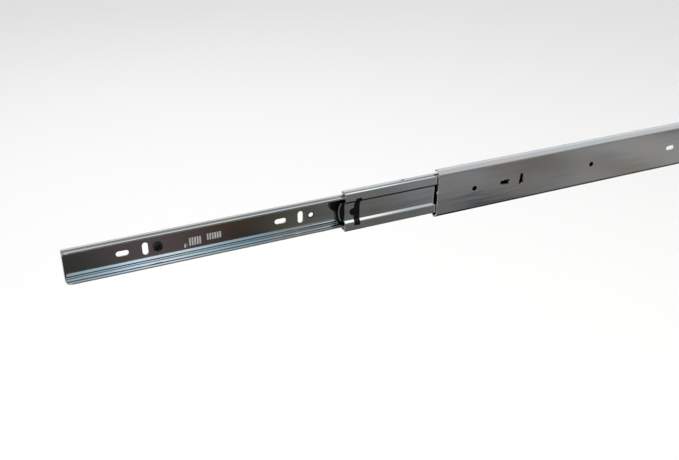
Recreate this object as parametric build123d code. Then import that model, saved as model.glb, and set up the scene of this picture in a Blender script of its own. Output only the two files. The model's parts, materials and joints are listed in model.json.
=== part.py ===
from build123d import *
import math
import os

# Three-member ball-bearing drawer slide, shown part way open.
# X runs along the slide and +X goes into the cabinet. The cabinet wall is the plane Y = 0,
# the drawer's side is the plane Y = 12.7 and Z = 0 is the slide's centre line.
# The drawer moves out towards -X. X = 0 is the middle of the cabinet member's row of screw holes.

# ---- driving dimensions, millimetres ----
slide_height = 45.5
slide_width = 12.7
nominal_length = 450.0
strip = 1.2
ball_radius = 1.985
ball_clearance = 0.06

# Travel. The total is outer_travel + inner_travel, one nominal length.
outer_travel = 234.0
inner_travel = 216.0
outer_extension = 97.0
closed_setback = 10.0

middle_length = 428.0
drawer_length = 445.0
outer_retainer_length = 180.0
inner_retainer_length = 190.0
outer_retainer_closed = 122.0
nose_lead = 5.0

# Places of the front ends in the pose drawn here.
cabinet_x = -229.0
middle_x = cabinet_x + closed_setback - outer_extension
drawer_x = cabinet_x - outer_extension - inner_travel
outer_retainer_x = cabinet_x + outer_retainer_closed - outer_extension / 2
inner_retainer_x = middle_x - nose_lead

# At full travel each ball retainer is still held by both of its rails.
assert outer_retainer_closed - outer_travel / 2 > 0
assert outer_retainer_closed + outer_retainer_length < closed_setback + middle_length - outer_travel / 2
assert inner_retainer_length - nose_lead < drawer_length - closed_setback - inner_travel

# Cross-section, as (Y, Z) places of the strips' centre lines.
half_strip = strip / 2
race_radius = ball_radius + ball_clearance
bend_radius = race_radius + half_strip
outer_ball_y = 5.0
outer_ball_z = slide_height / 2 - half_strip - bend_radius
inner_ball_z = 14.97
inner_ball_y = outer_ball_y + math.sqrt((2 * bend_radius) ** 2 - (outer_ball_z - inner_ball_z) ** 2)
lip_angle = 20.0
cabinet_web_y = half_strip
middle_web_y = 2.8
middle_recess = 1.9
recess_z = 8.2
drawer_web_y = slide_width - half_strip
drawer_flange_z = 13.05
drawer_lip_y = 4.3
lip_corner_radius = 4.5

outer_retainer_strip = 0.5
inner_retainer_strip = 0.4
retainer_gap = 0.25
pocket_radius = 2.07
ball_pitch = 8.0

# Pressed stops that keep the middle member in the cabinet member, above and below the centre line.
stop_z = (12.9, 15.0)
stop_length = 1.2

# Hole pattern: groups one module of 128 mm apart, measured from each member's front end.
hole_module = 128.0
slot_width = 4.6
slot_length = 10.0
upright_slot_length = 10.8
screw_hole_radius = 2.2
drawer_slots = [44.0 + i * hole_module for i in range(3)]
upright_slots = [61.5 + i * hole_module for i in range(3)]
drawer_round_holes = [71.0 + i * hole_module for i in range(3)]
screwed_holes = [drawer_round_holes[0], drawer_round_holes[2]]
cabinet_holes = [37.0 + i * hole_module for i in range(4)]
cabinet_hole_radius = 2.3
cabinet_slots = [69.0, 261.0, 389.0]

# Front window of the middle member, as (X, Z) corners with X measured from its front end.
window_corners = [
    (9.9, 11.9), (14.9, 11.9), (14.9, 8.0), (13.7, 7.1),
    (13.7, -13.0), (8.5, -13.0), (8.5, 4.4), (9.4, 8.0),
]
window_notch_radius = 3.4
window_notch = (8.0, -0.7)
crimp_place = 55.0
crimp_y = 10.1
crimp_radius = 1.9

# Release lever, measured from the drawer member's front end.
lever_tip = 215.2
lever_pivot = 238.0
lever_y = (9.3, 11.2)
pivot_radius = 2.0
running_gap = 0.05

bumper_reach = 2.5
plug_radius = 2.0
rivet_radius = 1.6
rivet_head_radius = 3.2
rivet_head_height = 0.9

screw_shank_radius = 1.9
screw_head_radius = 4.0
screw_head_height = 2.3
screw_length = 16.0


# ---- bent strips ----
def point_on(centre, radius, degrees):
    angle = math.radians(degrees)
    return (centre[0] + radius * math.cos(angle), centre[1] + radius * math.sin(angle))


def bend(before, corner, after, radius):
    """Arc (centre, radius, first angle, last angle) that rounds one corner of a run of straight lines."""
    way_in = math.atan2(corner[1] - before[1], corner[0] - before[0])
    way_out = math.atan2(after[1] - corner[1], after[0] - corner[0])
    turn = (way_out - way_in + math.pi) % (2 * math.pi) - math.pi
    side = 1 if turn > 0 else -1
    back = radius * math.tan(abs(turn) / 2)
    start = (corner[0] - back * math.cos(way_in), corner[1] - back * math.sin(way_in))
    centre = (start[0] - side * radius * math.sin(way_in), start[1] + side * radius * math.cos(way_in))
    first = math.degrees(way_in) - 90 * side
    return (centre, radius, first, first + math.degrees(turn))


def mirrored(arcs):
    """The same arcs below the centre line, in the order that leads up to the web."""
    return [((c[0], -c[1]), r, -last, -first) for c, r, first, last in reversed(arcs)]


def side_points(arc, thickness, side):
    """Start, middle and end of one arc, moved half a thickness to the left (1) or right (-1)."""
    centre, radius, first, last = arc
    left_turn = 1 if last > first else -1
    moved = radius - side * left_turn * thickness / 2
    return [point_on(centre, moved, a) for a in (first, (first + last) / 2, last)]


def strip_section(upper_arcs, end_run, thickness):
    """Face of a bent strip: arcs joined by straight runs, from the lower lip to the upper one."""
    arcs = mirrored(upper_arcs) + upper_arcs
    edges = []
    rims = []
    for side in (1, -1):
        places = [side_points(arc, thickness, side) for arc in arcs]
        way = math.radians(arcs[-1][3] + (90 if arcs[-1][3] > arcs[-1][2] else -90))
        lip = (places[-1][2][0] + end_run * math.cos(way), places[-1][2][1] + end_run * math.sin(way))
        ends = [(lip[0], -lip[1]), lip]
        joints = [ends[0]]
        for start, middle, end in places:
            if math.dist(joints[-1], start) > 1e-4:
                edges.append(Line(joints[-1], start))
            else:
                start = joints[-1]
            edges.append(ThreePointArc(start, middle, end))
            joints.append(end)
        if math.dist(joints[-1], ends[1]) > 1e-4:
            edges.append(Line(joints[-1], ends[1]))
        else:
            ends = [joints[0], joints[-1]]
        rims.append(ends)
    edges.append(Line(rims[0][0], rims[1][0]))
    edges.append(Line(rims[0][1], rims[1][1]))
    return make_face(edges)


def run_along_x(section, start, length):
    """Solid of a (Y, Z) section along X."""
    return Pos(start, 0, 0) * extrude(Plane.YZ * section, amount=length)


def along_y(sketch, low, high):
    """Solid of an (X, Z) sketch between two values of Y."""
    return extrude(Plane((0, high, 0), x_dir=(1, 0, 0), z_dir=(0, -1, 0)) * sketch, amount=high - low)


def block(x, y, z):
    """Box from its lowest and highest X, Y and Z."""
    return Pos(x[0], y[0], z[0]) * Box(
        x[1] - x[0], y[1] - y[0], z[1] - z[0], align=(Align.MIN, Align.MIN, Align.MIN)
    )


def rod(x, z, radius, low, high):
    """Round bar along Y."""
    return along_y(Pos(x, z) * Circle(radius), low, high)


def slot(x, length, upright=False):
    return Pos(x, 0) * SlotOverall(length, slot_width, rotation=90 if upright else 0)


# ---- sections ----
outer_ball = (outer_ball_y, outer_ball_z)
inner_ball = (inner_ball_y, inner_ball_z)


def recess_bends(offset):
    """The two bends beside the middle member's recess, on a line parallel to it."""
    slide_by = abs(offset) * math.tan(math.radians(22.5)) * (1 if offset > 0 else -1)
    low = (middle_web_y + middle_recess + offset, recess_z + slide_by)
    high = (middle_web_y + offset, recess_z + middle_recess + slide_by)
    start = (low[0], 0)
    top = (high[0], outer_ball_z)
    return [bend(start, low, high, 1.2), bend(low, high, top, 1.2)]


def cabinet_section():
    touch = point_on(outer_ball, bend_radius, 135)
    corner = (cabinet_web_y, touch[1] - (touch[0] - cabinet_web_y))
    arcs = [bend((cabinet_web_y, 0), corner, touch, 1.6)]
    arcs.append((outer_ball, bend_radius, 135, lip_angle))
    return strip_section(arcs, 0, strip)


def middle_section():
    fold = half_strip + running_gap
    fold_y = middle_web_y + fold
    drop = math.sqrt((bend_radius + fold) ** 2 - (outer_ball_y - fold_y) ** 2)
    fold_centre = (fold_y, outer_ball_z - drop)
    rise = math.degrees(math.atan2(drop, outer_ball_y - fold_y))
    dip = math.degrees(math.atan2(inner_ball_z - outer_ball_z, inner_ball_y - outer_ball_y))
    arcs = recess_bends(0)
    arcs.append((fold_centre, fold, 180, rise))
    arcs.append((outer_ball, bend_radius, rise + 180, dip + 360))
    arcs.append((inner_ball, bend_radius, dip + 180, lip_angle))
    return strip_section(arcs, 0, strip)


def drawer_section():
    fillet = half_strip + 0.1
    depth = inner_ball_z - drawer_flange_z + fillet
    reach = math.sqrt((bend_radius + fillet) ** 2 - depth**2)
    angle = math.degrees(math.atan2(depth, reach))
    far = (inner_ball_y + reach, drawer_flange_z - fillet)
    near = (inner_ball_y - reach, drawer_flange_z - fillet)
    arcs = [bend((drawer_web_y, 0), (drawer_web_y, drawer_flange_z), (inner_ball_y, drawer_flange_z), 1.0)]
    arcs.append((far, fillet, 90, 180 - angle))
    arcs.append((inner_ball, bend_radius, 360 - angle, 180 + angle))
    arcs.append((near, fillet, angle, 90))
    return strip_section(arcs, near[0] - drawer_lip_y, strip)


def outer_retainer_section():
    offset = -(half_strip + retainer_gap + outer_retainer_strip / 2)
    arcs = recess_bends(offset)
    web = (middle_web_y + offset, outer_ball_z - 1.3)
    shoulder = (web[0] + 1.3, outer_ball_z)
    end = (outer_ball_y + 2.8, outer_ball_z)
    arcs.append(bend((web[0], 0), web, shoulder, 1.0))
    arcs.append(bend(web, shoulder, end, 1.0))
    straight = end[0] - (arcs[-1][0][0])
    return strip_section(arcs, straight, outer_retainer_strip)


def inner_retainer_section():
    offset = half_strip + retainer_gap + inner_retainer_strip / 2
    arcs = recess_bends(offset)
    corner = (middle_web_y + offset, inner_ball_z)
    end = (inner_ball_y + 2.8, inner_ball_z)
    arcs.append(bend((corner[0], 0), corner, end, 0.8))
    straight = end[0] - (arcs[-1][0][0])
    return strip_section(arcs, straight, inner_retainer_strip)


# ---- ball retainers and balls ----
def ball_places(start, length):
    count = int((length - 12) // ball_pitch)
    first = start + (length - (count - 1) * ball_pitch) / 2
    return [first + i * ball_pitch for i in range(count)]


def balls(centre, places, side):
    return Compound(children=[Pos(x, centre[0], side * centre[1]) * Sphere(ball_radius) for x in places])


def ball_retainer(section, start, length, centre, window_half):
    """Thin C of strip with a pocket for each ball and windows along its web."""
    body = run_along_x(section, start, length)
    for x in ball_places(start, length):
        pocket = Pos(x, centre[0], 0) * Cylinder(pocket_radius, 2 * slide_height)
        body -= pocket
    window_pitch = 32.0
    count = int((length - 40) // window_pitch) + 1
    first = start + (length - (count - 1) * window_pitch) / 2
    for i in range(count):
        hole = Pos(first + i * window_pitch, 0) * RectangleRounded(22, 2 * window_half, 3)
        body -= along_y(hole, 0, slide_width)
    return body


# ---- cabinet member ----
def cabinet_member():
    body = run_along_x(cabinet_section(), cabinet_x, nominal_length)
    for x in cabinet_holes:
        body -= rod(cabinet_x + x, 0, cabinet_hole_radius, -1, 2)
    for x in cabinet_slots:
        body -= along_y(slot(cabinet_x + x, slot_length), -1, 2)
        body -= along_y(slot(cabinet_x + x + 17.5, upright_slot_length, True), -1, 2)
    rear = cabinet_x + nominal_length
    tab = block((rear - strip, rear), (strip - 0.2, 10.6), (-7, 7))
    tab -= Pos(rear, 7.6, 0) * Rot(0, 90, 0) * Cylinder(plug_radius, 8)
    body += tab
    for side in (-1, 1):
        z = sorted(side * value for value in stop_z)
        body += block((cabinet_x + 1.4, cabinet_x + 1.4 + stop_length), (strip - 0.2, 1.95), z)
    return body


def cabinet_rear_bumper():
    """Cushion on the front of the rear tab, held by a plug through it."""
    rear = cabinet_x + nominal_length
    pad = block((rear - strip - bumper_reach, rear - strip), (4.6, 10.6), (-6, 6))
    pad = fillet(pad.edges().filter_by(Axis.X), 1.5)
    stem = Pos(rear - strip, 7.6, 0) * Rot(0, 90, 0) * Cylinder(
        plug_radius, strip, align=(Align.CENTER, Align.CENTER, Align.MIN)
    )
    head = Pos(rear, 7.6, 0) * Rot(0, 90, 0) * Cone(
        3.0, 1.6, 1.6, align=(Align.CENTER, Align.CENTER, Align.MIN)
    )
    return pad + stem + head


# ---- middle member ----
def window_outline(shrink=0.0):
    """Upright window with a half-round notch towards the front and a short tab at its top rear."""
    bar = make_face(Polyline(*window_corners, close=True))
    notch = Pos(*window_notch) * Circle(window_notch_radius)
    return Pos(middle_x, 0) * offset(bar + notch, amount=-shrink)


def middle_member():
    body = run_along_x(middle_section(), middle_x, middle_length)
    body -= along_y(window_outline(), 0, slide_width)
    rear = middle_x + middle_length
    body -= rod(rear - 5, 0, rivet_radius, 0, slide_width)
    for side in (-1, 1):
        lip = Pos(middle_x + crimp_place, crimp_y, side * (inner_ball_z + 2.3))
        body -= lip * Cylinder(crimp_radius, 4)
        z = sorted(side * value for value in stop_z)
        body += block((rear - 4.0, rear - 4.0 + stop_length), (1.5, middle_web_y), z)
    for x in (96.0, 224.0, 352.0):
        body -= along_y(Pos(middle_x + x, 0) * SlotOverall(16, 9), 0, slide_width)
    return body


def middle_front_bumper():
    """Moulded stop that fills the window and stands a little proud of the web."""
    shape = run_along_x(strip_section(recess_bends(-0.2) + [middle_fold()], 0, strip + 0.4), middle_x, 40)
    return shape & along_y(window_outline(0.05), 0, slide_width)


def middle_fold():
    """Short end bend that closes the bumper's own section above the window."""
    return bend(
        (middle_web_y - 0.2, 0), (middle_web_y - 0.2, 15.0), (middle_web_y + 2, 16.5), 1.2
    )


def middle_rear_bumper():
    rear = middle_x + middle_length
    face = middle_web_y + middle_recess + half_strip
    pad = block((rear - 10, rear), (face, face + 2.4), (-7, 7))
    pad = fillet(pad.edges().filter_by(Axis.Y), 2.0)
    return pad - rod(rear - 5, 0, rivet_radius, 0, slide_width)


def rivet(x, z, radius, head_radius, head_low, head_high, shank_end):
    """Shank along Y with a domed head at its low-Y end."""
    shank = rod(x, z, radius, head_high, shank_end)
    head = rod(x, z, head_radius, head_low, head_high)
    rim = head.edges().filter_by(GeomType.CIRCLE).sort_by(Axis.Y)[0]
    return fillet(rim, 0.6 * (head_high - head_low)) + shank


def middle_rear_rivet():
    rear = middle_x + middle_length
    near = middle_web_y + middle_recess - half_strip
    far = near + strip + 2.4
    body = rivet(rear - 5, 0, rivet_radius, rivet_head_radius - 0.4, near - 0.6, near, far)
    tail = rod(rear - 5, 0, rivet_head_radius - 0.6, far, far + 0.3)
    return body + tail


# ---- drawer member ----
def lip_corner(x, inward):
    """What a rounded corner takes off both flanges at one end, seen from above."""
    centre_x = x + inward * lip_corner_radius
    corner = block(
        sorted((x - inward, centre_x)), (drawer_lip_y - 1, drawer_lip_y + lip_corner_radius), (-20, 20)
    )
    return corner - Pos(centre_x, drawer_lip_y + lip_corner_radius, 0) * Cylinder(lip_corner_radius, 50)


def drawer_member():
    body = run_along_x(drawer_section(), drawer_x, drawer_length)
    for x in drawer_slots:
        body -= along_y(slot(drawer_x + x, slot_length), 9, 14)
    for x in upright_slots:
        body -= along_y(slot(drawer_x + x, upright_slot_length, True), 9, 14)
    for x in drawer_round_holes:
        body -= rod(drawer_x + x, 0, screw_hole_radius, 9, 14)
    body -= rod(drawer_x + lever_pivot, 0, pivot_radius, 9, 14)
    rear = drawer_x + drawer_length
    body -= rod(rear - 6, 0, rivet_radius, 9, 14)
    face = drawer_web_y - half_strip
    body += block((drawer_x, drawer_x + strip), (face - 3.2, face + 0.2), (-8.4, 8.4))
    return body - lip_corner(drawer_x, 1) - lip_corner(rear, -1)


def release_lever():
    """Flat moulded lever: hooked finger tab in front, hub on the pivot, latch arm behind."""
    x = drawer_x + lever_tip
    outline = Polyline(
        (x, 9.8), (x, 3.4), (x + 0.9, 2.3), (x + 2.6, 1.3), (x + 4.9, -0.8), (x + 5.6, -4.0),
        (x + 6.2, -8.0), (x + 5.4, -9.8), (x + 13.2, -9.8), (x + 16.2, -6.0), (x + 30.2, -6.0),
        (x + 32.2, -3.4), (x + 46.8, -3.4), (x + 46.8, 4.6), (x + 41.2, 4.6), (x + 39.2, 2.6),
        (x + 32.2, 6.0), (x + 18.2, 6.0), (x + 13.2, 9.8), close=True,
    )
    plate = along_y(make_face(outline), lever_y[0], lever_y[1])
    plate = fillet(plate.edges().filter_by(Axis.Y), 0.5)
    plate -= along_y(Pos(x + 7.4, 5.4) * RectangleRounded(8.0, 3.0, 1.0), lever_y[0], lever_y[0] + 0.6)
    return plate - rod(drawer_x + lever_pivot, 0, pivot_radius + running_gap, 0, slide_width)


def lever_washer():
    x = drawer_x + lever_pivot
    face = drawer_web_y - half_strip
    return rod(x, 0, 4.5, lever_y[1] + 0.02, face) - rod(x, 0, pivot_radius, 0, slide_width)


def lever_rivet():
    x = drawer_x + lever_pivot
    head = lever_y[0] - running_gap
    return rivet(x, 0, pivot_radius, 3.6, head - rivet_head_height, head, slide_width)


def drawer_tail_catch():
    """Moulded catch at the rear end of the drawer member; it presses on the cabinet's rear cushion."""
    rear = drawer_x + drawer_length
    face = drawer_web_y - half_strip
    pad = block((rear - 12, rear), (face - 2.4, face), (-8, 8))
    pad = fillet(pad.edges().filter_by(Axis.Y), 2.0)
    return pad - rod(rear - 6, 0, rivet_radius, 0, slide_width)


def tail_catch_rivet():
    rear = drawer_x + drawer_length
    face = drawer_web_y - half_strip - 2.4
    return rivet(rear - 6, 0, rivet_radius, rivet_head_radius, face - rivet_head_height, face, slide_width)


def drawer_screw(x):
    """Pan-head wood screw with a cross recess."""
    face = drawer_web_y - half_strip
    head = rod(x, 0, screw_head_radius, face - screw_head_height, face)
    rim = head.edges().filter_by(GeomType.CIRCLE).sort_by(Axis.Y)[0]
    head = fillet(rim, 1.3)
    for angle in (45, 135):
        arm = Pos(x, 0) * Rot(0, 0, angle) * Rectangle(4.6, 0.95)
        head -= along_y(arm, face - screw_head_height - 1, face - screw_head_height + 1.3)
    shank = rod(x, 0, screw_shank_radius, face, face + screw_length - 4)
    point = Pos(x, face + screw_length - 4, 0) * Rot(-90, 0, 0) * Cone(
        screw_shank_radius, 0.3, 4, align=(Align.CENTER, Align.CENTER, Align.MIN)
    )
    return head + shank + point


# ---- nose of the inner ball retainer ----
def retainer_nose():
    """Moulded end piece on the retainer's centre band, with a bowed and thicker front edge."""
    x = inner_retainer_x
    low = middle_web_y + middle_recess + half_strip + retainer_gap
    face = low + inner_retainer_strip
    edge = ThreePointArc((x + 2.0, -8.2), (x, 0), (x + 2.0, 8.2))
    sides = Polyline((x + 2.0, 8.2), (x + 16, 8.2), (x + 16, -8.2), (x + 2.0, -8.2))
    plate = along_y(make_face(edge + sides), face, face + 0.7)
    rim = Polyline((x + 2.0, 8.2), (x + nose_lead, 8.2), (x + nose_lead, -8.2), (x + 2.0, -8.2))
    return plate + along_y(make_face(edge + rim), low, face)


def inner_ball_retainer():
    body = ball_retainer(
        inner_retainer_section(), inner_retainer_x, inner_retainer_length, inner_ball, 6.0
    )
    return body - block((inner_retainer_x - 1, inner_retainer_x + nose_lead), (0, slide_width), (-20, 20))


# ---- the assembly ----
outer_places = ball_places(outer_retainer_x, outer_retainer_length)
inner_places = ball_places(inner_retainer_x, inner_retainer_length)

nodes = {
    "cabinet_member": cabinet_member(),
    "cabinet_rear_bumper": cabinet_rear_bumper(),
    "outer_ball_retainer": ball_retainer(
        outer_retainer_section(), outer_retainer_x, outer_retainer_length, outer_ball, 6.0
    ),
    "outer_balls_upper": balls(outer_ball, outer_places, 1),
    "outer_balls_lower": balls(outer_ball, outer_places, -1),
    "middle_member": middle_member(),
    "middle_front_bumper": middle_front_bumper(),
    "middle_rear_bumper": middle_rear_bumper(),
    "middle_rear_rivet": middle_rear_rivet(),
    "inner_ball_retainer": inner_ball_retainer(),
    "retainer_nose": retainer_nose(),
    "inner_balls_upper": balls(inner_ball, inner_places, 1),
    "inner_balls_lower": balls(inner_ball, inner_places, -1),
    "drawer_member": drawer_member(),
    "release_lever": release_lever(),
    "lever_washer": lever_washer(),
    "lever_rivet": lever_rivet(),
    "drawer_tail_catch": drawer_tail_catch(),
    "tail_catch_rivet": tail_catch_rivet(),
    "drawer_screws": Compound(children=[drawer_screw(drawer_x + x) for x in screwed_holes]),
}

os.makedirs("parts", exist_ok=True)
for name, shape in nodes.items():
    export_step(shape, f"parts/{name}.step")
    print(name, len(shape.solids()), round(shape.volume))
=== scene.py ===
# %% [markdown]
# # A ball-bearing drawer slide
# The rails, retainers, balls, stops and screws come finished in shape from the CAD model. This lesson
# gives them their surfaces: bright zinc plating on rolled strip, polished balls, moulded black plastic,
# rubber and blackened screws. It then adds the small things that press tools and moulds leave behind,
# and lights the slide as bright metal needs: with something pale above it and something dark below.

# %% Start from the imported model
import json
import math

import bpy
import numpy as np
from mathutils import Matrix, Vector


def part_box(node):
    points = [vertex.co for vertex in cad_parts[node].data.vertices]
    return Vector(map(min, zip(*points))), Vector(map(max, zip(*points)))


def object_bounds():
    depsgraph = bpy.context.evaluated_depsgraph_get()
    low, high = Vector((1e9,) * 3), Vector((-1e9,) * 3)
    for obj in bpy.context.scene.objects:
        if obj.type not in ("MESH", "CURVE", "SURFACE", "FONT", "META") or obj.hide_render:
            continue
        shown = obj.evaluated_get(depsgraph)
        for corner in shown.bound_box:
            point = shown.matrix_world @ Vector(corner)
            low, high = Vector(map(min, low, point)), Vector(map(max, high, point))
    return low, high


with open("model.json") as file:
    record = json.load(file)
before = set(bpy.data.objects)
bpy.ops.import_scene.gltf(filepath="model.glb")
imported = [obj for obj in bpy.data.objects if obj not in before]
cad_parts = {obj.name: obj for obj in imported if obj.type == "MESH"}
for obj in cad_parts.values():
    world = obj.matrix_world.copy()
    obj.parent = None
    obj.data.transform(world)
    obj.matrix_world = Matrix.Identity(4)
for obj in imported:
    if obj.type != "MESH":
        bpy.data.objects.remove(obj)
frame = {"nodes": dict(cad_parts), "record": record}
cad_low, cad_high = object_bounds()
MM = 0.001
print("CAD box in mm", [round((b - a) / MM, 1) for a, b in zip(cad_low, cad_high)])

# %% [markdown]
# ## Shader maths that reads like arithmetic
# A material is a graph of nodes. Adding each Math node by hand hides the idea, so one small class wraps
# a socket and lets `1 - mask * 0.5` add the nodes by itself. Every other node comes from `add`, which
# takes the node's type, its settings and the values or links of its sockets.


# %% A socket with arithmetic
class Wire:
    """One output socket. Arithmetic on it adds a Math node and gives that node's output."""

    def __init__(self, board, socket):
        self.board = board
        self.socket = socket

    def maths(self, operation, first, second=0.0):
        return self.board.add("ShaderNodeMath", {"operation": operation}, {0: first, 1: second})

    def fraction(self):
        """What is left after the whole number, so that a pattern repeats at every step of one."""
        return self.maths("FRACT", self)

    def __add__(self, other):
        return self.maths("ADD", self, other)

    def __sub__(self, other):
        return self.maths("SUBTRACT", self, other)

    def __rsub__(self, other):
        return self.maths("SUBTRACT", other, self)

    def __mul__(self, other):
        return self.maths("MULTIPLY", self, other)

    def __pow__(self, other):
        return self.maths("POWER", self, other)

    def __gt__(self, other):
        return self.maths("GREATER_THAN", self, other)

    def __abs__(self):
        return self.maths("ABSOLUTE", self)

    def smooth(self, low, high, to_low=0.0, to_high=1.0):
        """Soft step: to_low below low, to_high above high and an S-shaped rise between."""
        return self.board.add(
            "ShaderNodeMapRange",
            {"interpolation_type": "SMOOTHSTEP"},
            {"Value": self, "From Min": low, "From Max": high, "To Min": to_low, "To Max": to_high},
        )

    __radd__ = __add__
    __rmul__ = __mul__


# %% A board of nodes for one material or for the world
class Board:
    """The node tree of one material or of the world."""

    def __init__(self, owner):
        owner.use_nodes = True
        self.tree = owner.node_tree
        self.tree.nodes.clear()

    def add(self, kind, settings=None, values=None, output=0):
        """Adds a node, sets its settings first and then its sockets, and returns one output."""
        node = self.tree.nodes.new(kind)
        for name, value in (settings or {}).items():
            setattr(node, name, value)
        for name, value in (values or {}).items():
            if isinstance(value, Wire):
                self.tree.links.new(value.socket, node.inputs[name])
            else:
                node.inputs[name].default_value = value
        return Wire(self, node.outputs[output]) if len(node.outputs) else None

    def place(self, stretch=(1, 1, 1)):
        """Object coordinates, in metres, each multiplied by its stretch."""
        where = self.add("ShaderNodeTexCoord", output="Object")
        return self.add("ShaderNodeMapping", None, {"Vector": where, "Scale": stretch})

    def parts(self, vector):
        """The three parts of a vector."""
        first = self.add("ShaderNodeSeparateXYZ", None, {0: vector})
        return [Wire(self, socket) for socket in first.socket.node.outputs]

    def noise(self, scale, stretch=(1, 1, 1), detail=2.0, roughness=0.5):
        return self.add(
            "ShaderNodeTexNoise",
            None,
            {"Vector": self.place(stretch), "Scale": scale, "Detail": detail, "Roughness": roughness},
        )

    def mix(self, share, first, second):
        """Colour that goes from first to second as share goes from 0 to 1."""
        return self.add(
            "ShaderNodeMix",
            {"data_type": "RGBA"},
            {0: share, 6: first, 7: second},
            output=2,
        )

    def ramp(self, place, stops):
        """Colour that passes through the stops, each (place, colour), as place rises."""
        before, colour = stops[0]
        for there, shade in stops[1:]:
            colour = self.mix(place.smooth(before, there), colour, shade)
            before = there
        return colour

    def bump(self, height, distance, strength=1.0):
        return self.add(
            "ShaderNodeBump", None, {"Height": height, "Distance": distance, "Strength": strength}
        )

    def finish(self, changing, constant):
        """Closes the tree with a Principled shader."""
        shader = self.add("ShaderNodeBsdfPrincipled", None, {**constant, **changing})
        self.add("ShaderNodeOutputMaterial", None, {"Surface": shader})


def new_board(name):
    """A new material of that name, with its empty board."""
    material = bpy.data.materials.new(name)
    return material, Board(material)


print("shader tools ready")

# %% [markdown]
# ## Bright zinc plating on rolled strip
# The rails are cold-rolled strip, plated after pressing. Three things show. The rolling leaves fine
# streaks along the strip, so the noise is stretched a few hundred times along X. The plating bath leaves
# soft cloudy patches, a touch warmer or cooler and a touch duller. And the sheared rims were cut, not
# rolled, so they are rougher and scatter the light; they lie at known places, which Object coordinates
# can pick out. A photograph of metal as a texture would be quicker, but it would not follow the parts.


# %% Plated steel
CUT_RIM = 0.04 * MM
BALL_TRACK = (2.10 * MM, 2.20 * MM)
WAVE_HEIGHT = 0.0006 * MM
# Dark tone of the ball tracks: a greasy film and painted shade of the groove.
TRACK_FILM_AND_GROOVE_SHADE = (0.16, 0.155, 0.145, 1)
# Painted shade of the dimpled holes and the crimp dents.
DENT_PAINTED_SHADE = (0.12, 0.12, 0.12, 1)
# Dark tone of greasy darkening, partly painted shade in bends and dents.
GREASE_AND_CREASE_SHADE = (0.03, 0.03, 0.035, 1)
ETCHED_SHADE = (0.50, 0.48, 0.47, 1)


def plated_steel(name, tint, shine, rims=(), rim_ends=(), races=(), pressed=None):
    """Plated strip. rims are Y values and rim_ends X values, in metres, where the strip is cut.
    races are the (Y, Z) centres of the rows of balls that run on it; the track round each is darkened, a
    greasy film together with painted groove shade.
    pressed(board, along, across, upward) gives three shares: painted dent shade, etched marks, and greasy
    darkening that is partly painted shade."""
    material, b = new_board(name)
    streaks = b.noise(1.0, (9.0, 2600.0, 2600.0), 3.0, 0.6)
    hairlines = b.noise(1.0, (30.0, 9000.0, 9000.0), 1.0)
    clouds = b.noise(38.0, (0.45, 1.0, 1.0), 4.0, 0.62)
    specks = b.noise(1500.0, detail=1.0)
    cut = 0.0
    along, across, upward = b.parts(b.place())
    for wire, places in ((across, rims), (along, rim_ends)):
        for place in places:
            near = 1 - (abs(wire - place) > CUT_RIM)
            cut = near + cut
    cool = (tint[0] * 0.94, tint[1] * 0.985, tint[2] * 1.02, 1)
    warm = (tint[0] * 1.03, tint[1], tint[2] * 0.95, 1)
    colour = b.mix(clouds.smooth(0.34, 0.66), cool, warm)
    dull = (streaks - 0.5) * 0.10 + (clouds - 0.5) * 0.12 + specks.smooth(0.66, 0.74) * 0.05
    film = 0.0
    for centre in races:
        reach = ((across - centre[0]) ** 2.0 + (abs(upward) - centre[1]) ** 2.0) ** 0.5
        film = reach.smooth(*BALL_TRACK, 1.0, 0.0) + film
    # Darkens each ball track: a greasy film and painted groove shade, strongest by the balls.
    if races:
        colour = b.mix(film * 0.75, colour, TRACK_FILM_AND_GROOVE_SHADE)
    metallic = 1.0
    if pressed:
        painted_dent_shade, etched, grease_and_shade = pressed(b, along, across, upward)
        # Painted shade: the hollows round the holes and the crimp dents exist only as this darker colour.
        colour = b.mix(painted_dent_shade, colour, DENT_PAINTED_SHADE)
        # Greasy darkening that is partly painted shade, in the inner bends and at the dents.
        colour = b.mix(grease_and_shade * 0.85, colour, GREASE_AND_CREASE_SHADE)
        colour = b.mix(etched, colour, ETCHED_SHADE)
        cut = etched * 1.2 + painted_dent_shade * 0.5 + grease_and_shade * 0.4 + cut
        metallic = 1 - etched
    roughness = dull + shine + cut * 0.3
    waves = b.noise(1.0, (20.0, 170.0, 170.0), 1.0)
    height = waves * 40.0 + streaks * 0.6 + hairlines * 0.4
    b.finish(
        {
            "Base Color": colour,
            "Roughness": roughness,
            "Metallic": metallic,
            "Normal": b.bump(height, WAVE_HEIGHT),
        },
        {},
    )
    return material


def rims_of(node):
    """Lowest Y and both X ends of a node's box: where its strip was cut."""
    low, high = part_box(node)
    return (low[1],), (low[0], high[0])


STRIP = 1.2 * MM
HOLE_MODULE = 128 * MM
ROUND_HOLE = 71 * MM
DIMPLE = (2.5 * MM, 3.4 * MM)
MARKS = ((91.5, 94.0, -6.2, -2.8), (95.5, 105.9, -5.4, 1.6), (110.2, 122.2, -3.4, 2.2))
TICK = 2.05 * MM
CRIMP = (55 * MM, 8.2 * MM)
CRIMP_EDGE = (1.2 * MM, 1.9 * MM)
CRIMP_ABOVE = 16.6 * MM
BEND_GREASE_AND_SHADE = (0.4 * MM, 0.8 * MM)


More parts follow.
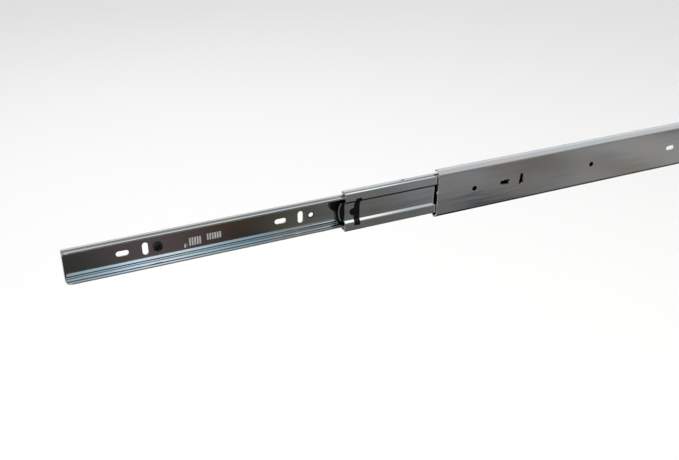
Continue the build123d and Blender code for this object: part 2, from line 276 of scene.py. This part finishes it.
def pressed_marks(b, along, across, upward):
    """Painted shade rings round the dimpled holes, plain etched ticks on the web, and greasy darkening in
    both bends that is partly painted crease shade.
    """
    low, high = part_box("drawer_member")
    front, web, flange = low[0], high[1] - STRIP, high[2] - STRIP
    # Darkest in the inner corner of each bend: greasy, and partly painted crease shade.
    from_bend = (across - web) ** 2.0 + (abs(upward) - flange) ** 2.0
    grease_and_shade = (from_bend**0.5).smooth(*BEND_GREASE_AND_SHADE, 0.7, 0.0)
    hole = ((along - front - ROUND_HOLE) * (1 / HOLE_MODULE) + 0.5).fraction()
    away = ((hole - 0.5) * HOLE_MODULE) ** 2.0 + upward**2.0
    reach = away**0.5
    # Painted shade in a ring round each hole, where the strip is dimpled.
    painted_dent_shade = reach.smooth(*DIMPLE, 1.0, 0.0)
    tick = (along * (1 / TICK)).fraction().smooth(0.30, 0.42)
    rows = 0.0
    for left, right, bottom, top in MARKS:
        inside = (along > front + left * MM) * (front + right * MM - along > 0.0)
        rows = inside * (upward > bottom * MM) * (top * MM - upward > 0.0) + rows
    worn = b.noise(140.0, detail=1.0).smooth(0.25, 0.60, 0.55, 1.0)
    return painted_dent_shade, rows * tick * worn, grease_and_shade


def crimps(b, along, across, upward):
    """Dents pressed in the middle rail's far lips, drawn only as painted shade, and greasy darkening,
    partly painted shade, where they meet the race.
    """
    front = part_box("middle_member")[0][0]
    reach = ((along - front - CRIMP[0]) ** 2.0 + (across - CRIMP[1]) ** 2.0) ** 0.5
    # Painted shade: the dents are a dark spot in the colour only, not in the shape.
    crimp_painted_shade = reach.smooth(*CRIMP_EDGE, 1.0, 0.0) * (abs(upward) > CRIMP_ABOVE)
    return crimp_painted_shade, 0.0, crimp_painted_shade * 0.9


def race_of(node):
    """Y and Z of a row of balls."""
    low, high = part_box(node)
    return ((low[1] + high[1]) / 2, (low[2] + high[2]) / 2)


outer_race, inner_race = race_of("outer_balls_upper"), race_of("inner_balls_upper")
races_of = {
    "cabinet_member": (outer_race,),
    "middle_member": (outer_race, inner_race),
    "drawer_member": (inner_race,),
}
rail_finish = {}
for rail, races in races_of.items():
    lips, ends = rims_of(rail)
    rims = lips if rail == "drawer_member" else ()
    pressed = {"drawer_member": pressed_marks, "middle_member": crimps}.get(rail)
    rail_finish[rail] = plated_steel(
        "zinc_" + rail, (0.70, 0.71, 0.72), 0.085, rims, ends, races, pressed
    )
retainer_finish = plated_steel("zinc_retainer_strip", (0.62, 0.63, 0.64), 0.16)
print("plated finishes", len(rail_finish) + 1)

# %% [markdown]
# ## Balls, rivets and screws
# The balls are hardened and polished, so they are the smoothest thing here: only a faint change in gloss
# and the thin brown film of old grease. Rivets are plated like the rails but were headed in a die; here
# they get a fine grain that varies their tone and gloss. The wood screws are blackened: dark, with brown
# worn patches on the head.


# %% Ball, rivet and screw finishes
def ball_steel():
    material, b = new_board("polished_ball_steel")
    film = b.noise(420.0, detail=3.0)
    colour = b.mix(film.smooth(0.5, 0.75), (0.74, 0.75, 0.77, 1), (0.55, 0.50, 0.42, 1))
    b.finish({"Base Color": colour, "Roughness": film * 0.12 + 0.02}, {"Metallic": 1.0})
    return material


def rivet_steel():
    material, b = new_board("headed_rivet_steel")
    grain = b.noise(900.0, detail=4.0)
    colour = b.mix(grain.smooth(0.4, 0.7), (0.60, 0.61, 0.62, 1), (0.46, 0.46, 0.45, 1))
    b.finish(
        {
            "Base Color": colour,
            "Roughness": grain * 0.2 + 0.14,
            "Normal": b.bump(grain, 0.01 * MM),
        },
        {"Metallic": 1.0},
    )
    return material


def blackened_steel():
    material, b = new_board("blackened_screw_steel")
    worn = b.noise(700.0, detail=5.0, roughness=0.7)
    colour = b.mix(worn.smooth(0.58, 0.72), (0.035, 0.036, 0.042, 1), (0.16, 0.14, 0.12, 1))
    b.finish(
        {
            "Base Color": colour,
            "Roughness": worn * 0.3 + 0.22,
            "Normal": b.bump(worn, 0.015 * MM),
        },
        {"Metallic": 0.85},
    )
    return material


# %% [markdown]
# ## Moulded black plastic and rubber
# The stops, the lever and the nose are glass-filled nylon from a spark-eroded mould. Its surface is a
# fine even grain, with broad flow marks that change the gloss. Rubber is duller and bloomed with grey.


# %% Plastic and rubber
def moulded_plastic(name, painted_edge_highlight=None):
    """Black moulding. The second argument, where given, takes the board and gives the share painted lighter
    as a painted highlight along an edge.
    """
    material, b = new_board(name)
    grain = b.noise(5200.0, detail=2.0)
    flow = b.noise(120.0, (0.5, 1.0, 1.6), 3.0)
    scuffs = b.noise(1.0, (900.0, 260.0, 2400.0), 4.0, 0.7)
    colour = b.mix(scuffs.smooth(0.6, 0.78), (0.003, 0.003, 0.003, 1), (0.016, 0.016, 0.017, 1))
    if painted_edge_highlight:
        # Painted highlight: a lighter band along the edge.
        colour = b.mix(painted_edge_highlight(b), colour, (0.10, 0.10, 0.105, 1))
    b.finish(
        {
            "Base Color": colour,
            "Roughness": flow * 0.22 + grain * 0.12 + 0.22,
            "Normal": b.bump(grain, 0.012 * MM),
        },
        {"IOR": 1.5, "Specular IOR Level": 0.22},
    )
    return material


def moulded_rubber():
    material, b = new_board("moulded_black_rubber")
    bloom = b.noise(260.0, detail=5.0, roughness=0.65)
    grain = b.noise(3600.0, detail=2.0)
    colour = b.mix(bloom.smooth(0.45, 0.75), (0.018, 0.018, 0.018, 1), (0.06, 0.06, 0.062, 1))
    b.finish(
        {
            "Base Color": colour,
            "Roughness": bloom * 0.2 + 0.6,
            "Normal": b.bump(grain, 0.02 * MM),
        },
        {"IOR": 1.52},
    )
    return material


finishes = {
    "ball_steel": ball_steel(),
    "rivet_steel": rivet_steel(),
    "blackened_steel": blackened_steel(),
    "black_plastic": moulded_plastic("moulded_black_plastic"),
    "black_rubber": moulded_rubber(),
}
BOW = (8.2**2 + 2.0**2) / (2 * 2.0) * MM


def nose_painted_highlight(b):
    """Painted highlight along a band just inside the nose's bowed front edge: an arc 2 mm deep over 16.4
    mm.
    """
    along, _, upward = b.parts(b.place())
    reach = ((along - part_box("retainer_nose")[0][0] - BOW) ** 2.0 + upward**2.0) ** 0.5
    return (BOW - reach).smooth(0.7 * MM, 1.1 * MM, 1.0, 0.0)


nose_finish = moulded_plastic("moulded_black_nose", nose_painted_highlight)
print("finishes", sorted(finishes))

# %% [markdown]
# ## Give each CAD node its finish
# The record says which material slot each node has. The rails and retainers share one slot, but each
# rail has its own rims, so those get their own variant.

# %% Assign the finishes
slot_of = {row["node"]: row["material_slot"] for row in frame["record"]["subparts"]}
for name, node in frame["nodes"].items():
    if name in rail_finish:
        finish = rail_finish[name]
    elif name == "retainer_nose":
        finish = nose_finish
    elif name.endswith("_retainer"):
        finish = retainer_finish
    else:
        finish = finishes[slot_of[name]]
    node.data.materials.clear()
    node.data.materials.append(finish)
    print(f"{name:22s} {finish.name}")

# %% [markdown]
# ## Rounded edges on the mouldings
# A mould never leaves a knife edge. A small bevel on the lever, the nose and the stops catches a thin
# line of light along each edge, and that line is what makes black plastic read as a shape at all. The
# faces arrive unjoined, so a weld comes first. The rails keep their own rounded bends and get no bevel.

# %% Bevel the mouldings
ROUNDED = {
    "retainer_nose": 0.30,
    "release_lever": 0.25,
    "middle_front_bumper": 0.15,
    "middle_rear_bumper": 0.25,
    "drawer_tail_catch": 0.25,
    "cabinet_rear_bumper": 0.20,
}
JOINED_WITHIN = 0.002 * MM
for name, width in ROUNDED.items():
    weld = frame["nodes"][name].modifiers.new("edge_joining", "WELD")
    weld.merge_threshold = JOINED_WITHIN
    bevel = frame["nodes"][name].modifiers.new("edge_rounding", "BEVEL")
    bevel.width = width * MM
    bevel.segments = 2
    bevel.limit_method = "ANGLE"
    bevel.angle_limit = math.radians(50)
print("rounded", len(ROUNDED), "mouldings")

# %% [markdown]
# ## The floor and what surrounds it
# Bright metal shows its surroundings more than itself. The slide hangs about 0.6 m above a pale floor
# in a pale room, and both are seen by the eye but left out of mirror reflections. The floor fades into
# the room's tone, as a studio's curved paper backdrop does, so no edge shows. What the metal mirrors is
# the world instead: pale and cool above the horizon, dark below it. That is how a bench under a
# skylight looks to a polished rail, and it gives dark webs and bright flanges from every side.


# %% Floor and room
def grid_mesh(name, points):
    """Mesh of a rows-by-columns array of points, one four-sided face between neighbours."""
    rows, columns = points.shape[:2]
    index = np.arange(rows * columns).reshape(rows, columns)
    corners = (index[:-1, :-1], index[:-1, 1:], index[1:, 1:], index[1:, :-1])
    faces = np.stack([c.ravel() for c in corners], axis=1)
    mesh = bpy.data.meshes.new(name)
    mesh.from_pydata(points.reshape(-1, 3).tolist(), [], faces.tolist())
    mesh.update()
    piece = bpy.data.objects.new(name, mesh)
    bpy.context.scene.collection.objects.link(piece)
    return piece


FLOOR_DROP = 0.62
ROOM_RADIUS = 14.0
ROOM_TONE = (0.93, 0.93, 0.93, 1)
FADE = (3.0, 10.0)


def pale_floor():
    """Pale matt paint, slightly cloudy. Far from the slide it turns into the tone of the room."""
    material, b = new_board("pale_floor")
    cloud = b.noise(1.4, detail=2.0)
    paint = b.mix(cloud, (0.87, 0.84, 0.815, 1), (0.857, 0.827, 0.803, 1))
    along, across, _ = b.parts(b.place())
    away = ((along**2.0 + across**2.0) ** 0.5).smooth(*FADE)
    b.finish(
        {
            "Base Color": b.mix(away, paint, (0, 0, 0, 1)),
            "Roughness": cloud * 0.1 + 0.75,
            "Emission Color": b.mix(away, (0.035, 0.034, 0.033, 1), ROOM_TONE),
        },
        {"Emission Strength": 1.0},
    )
    return material


def pale_room():
    """Black paint that gives off one even tone, so the room never shows a shadow."""
    material, b = new_board("pale_room")
    cloud = b.noise(0.4, detail=1.0)
    b.finish(
        {"Roughness": cloud * 0.1 + 0.75, "Emission Color": b.mix(cloud, ROOM_TONE, (0.94, 0.94, 0.94, 1))},
        {"Base Color": (0, 0, 0, 1), "Emission Strength": 1.0},
    )
    return material


def floor_and_room():
    """Flat square floor, and a half ball round it: radius times cosines and sines of two angles."""
    side = np.linspace(-ROOM_RADIUS, ROOM_RADIUS, 9)
    x, y = np.meshgrid(side, side)
    floor = grid_mesh("floor", np.stack([x, y, np.full_like(x, cad_low[2] - FLOOR_DROP)], axis=2))
    turn, rise = np.meshgrid(np.linspace(0, 2 * np.pi, 49), np.linspace(-0.25, 0.5 * np.pi - 0.01, 17))
    ball = np.stack([np.cos(rise) * np.cos(turn), np.cos(rise) * np.sin(turn), np.sin(rise)], axis=2)
    room = grid_mesh("room", ball * ROOM_RADIUS * 0.98)
    floor.data.materials.append(pale_floor())
    room.data.materials.append(pale_room())
    floor.visible_glossy = False
    for ray in ("glossy", "diffuse", "shadow", "transmission"):
        setattr(room, "visible_" + ray, False)


floor_and_room()
print("floor", round(FLOOR_DROP, 2), "m below the slide")


# %% [markdown]
# ## The light that the metal mirrors
# The world's colour depends on direction alone. It is a row of soft bands along the slide, one table for
# directions below the horizon and one for those above, with a soft box high on one side. Lamps alone
# would leave the flat webs black between their reflections; bands give each flat face a tone of its own.


# %% World colour by direction
def shade(red, green, blue):
    return (red, green, blue, 1)


BELOW = [
    (-0.06, shade(0.90, 0.91, 0.93)),
    (0.04, shade(0.11, 0.105, 0.10)),
    (0.085, shade(0.098, 0.096, 0.09)),
    (0.16, shade(0.138, 0.106, 0.11)),
    (0.26, shade(0.085, 0.054, 0.039)),
    (0.33, shade(0.173, 0.181, 0.142)),
    (0.395, shade(0.34, 0.32, 0.30)),
    (0.46, shade(0.36, 0.36, 0.37)),
    (0.60, shade(0.42, 0.40, 0.38)),
    (0.90, shade(0.50, 0.50, 0.50)),
]
GLOOM = shade(0.02, 0.02, 0.022)
FAR_WALL = shade(0.45, 0.47, 0.50)
BRIGHT_BACK = shade(0.95, 0.97, 0.98)
BOX_LIGHT = shade(1.75, 1.78, 1.80)
WORLD_STRENGTH = 0.85
ABOVE = [
    (-0.06, shade(0.90, 0.92, 0.95)),
    (0.03, shade(0.50, 0.64, 0.70)),
    (0.09, shade(0.75, 1.00, 1.08)),
    (0.16, shade(1.60, 1.95, 2.40)),
    (0.26, shade(0.62, 0.84, 0.98)),
    (0.33, shade(0.34, 0.42, 0.45)),
    (0.45, shade(0.34, 0.36, 0.36)),
    (0.90, shade(0.60, 0.60, 0.60)),
]


def surroundings():
    """World colour by direction: dim below, a blue window and a soft box above, grey wall behind."""
    world = bpy.data.worlds.new("bench_under_skylight")
    bpy.context.scene.world = world
    b = Board(world)
    way = b.add("ShaderNodeTexCoord", output="Generated")
    x, y, z = b.parts(way)
    bands = b.add("ShaderNodeMapping", None, {"Vector": way, "Scale": (5.0, 5.0, 26.0)})
    clutter = b.add("ShaderNodeTexNoise", None, {"Vector": bands, "Scale": 1.0, "Detail": 2.0})
    dim = b.mix(clutter.smooth(0.30, 0.62), GLOOM, b.ramp(x, BELOW))
    dim = b.mix(z.smooth(-0.72, -0.60), GLOOM, dim)
    front = b.mix(z.smooth(0.80, 0.97), b.ramp(x, ABOVE), FAR_WALL)
    high = b.mix(y.smooth(-0.15, 0.15), front, BRIGHT_BACK)
    side = x - z * 0.19
    box = side.smooth(0.18, 0.23) * side.smooth(0.262, 0.285, 1.0, 0.3) * z.smooth(0.50, 0.62)
    high = b.mix(box * y.smooth(0.25, 0.45, 1.0, 0.0), high, BOX_LIGHT)
    colour = b.mix(z.smooth(-0.1, 0.1), dim, high)
    light = b.add("ShaderNodeBackground", None, {"Color": colour, "Strength": WORLD_STRENGTH})
    b.add("ShaderNodeOutputWorld", None, {"Surface": light})


surroundings()
print("world ready")

# %% [markdown]
# ## Lights and camera
# Three soft boxes, all kept out of mirror reflections: a wide one overhead, a tall one behind, and a weak
# one beside the camera so that the black plastic keeps its shape. The camera stands in front of the
# drawer's end of the slide and looks down along it.


# %% Soft boxes
def soft_box(name, place, aim, width, height, watts, colour):
    data = bpy.data.lights.new(name, "AREA")
    data.shape = "RECTANGLE"
    data.size = width
    data.size_y = height
    data.energy = watts
    data.color = colour
    box = bpy.data.objects.new(name, data)
    bpy.context.scene.collection.objects.link(box)
    box.visible_glossy = False
    box.location = place
    way = np.array(aim) - np.array(place)
    box.rotation_euler = (
        math.atan2(math.hypot(way[0], way[1]), -way[2]),
        0,
        math.atan2(-way[0], way[1]),
    )


target = (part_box("middle_member")[0][0], 0.0, 0.0)
soft_box("overhead_box", (target[0] + 0.3, -0.5, 2.2), target, 2.4, 1.6, 34, (1.0, 1.0, 1.0))
soft_box("rear_strip_box", (target[0] + 0.05, 2.0, 1.35), target, 0.5, 1.2, 9, (0.86, 0.93, 1.0))
soft_box("front_fill_box", (target[0] - 1.6, -1.6, 0.9), target, 1.0, 1.0, 5, (1.0, 0.97, 0.93))


# %% Camera
def aimed_camera(place, forward, right, lens):
    """Camera whose axes are given: it looks along forward, with right towards the picture's right."""
    forward = np.array(forward) / np.linalg.norm(forward)
    right = np.array(right) - np.dot(right, forward) * forward
    right /= np.linalg.norm(right)
    up = np.cross(right, forward)
    data = bpy.data.cameras.new("camera")
    data.lens = lens
    data.sensor_width = 36.0
    camera = bpy.data.objects.new("camera", data)
    bpy.context.scene.collection.objects.link(camera)
    turn = np.eye(4)
    turn[:3, 0], turn[:3, 1], turn[:3, 2], turn[:3, 3] = right, up, -forward, place
    camera.matrix_world = Matrix(turn.tolist())
    bpy.context.scene.camera = camera


EYE = (-0.5851, -0.5603, 0.3376)
FORWARD = (0.3695, 0.7877, -0.4928)
RIGHT = (0.9085, -0.4177, 0.0143)
aimed_camera(EYE, FORWARD, RIGHT, 45.48)
bpy.context.scene.view_settings.view_transform = "Standard"
print("camera ready")
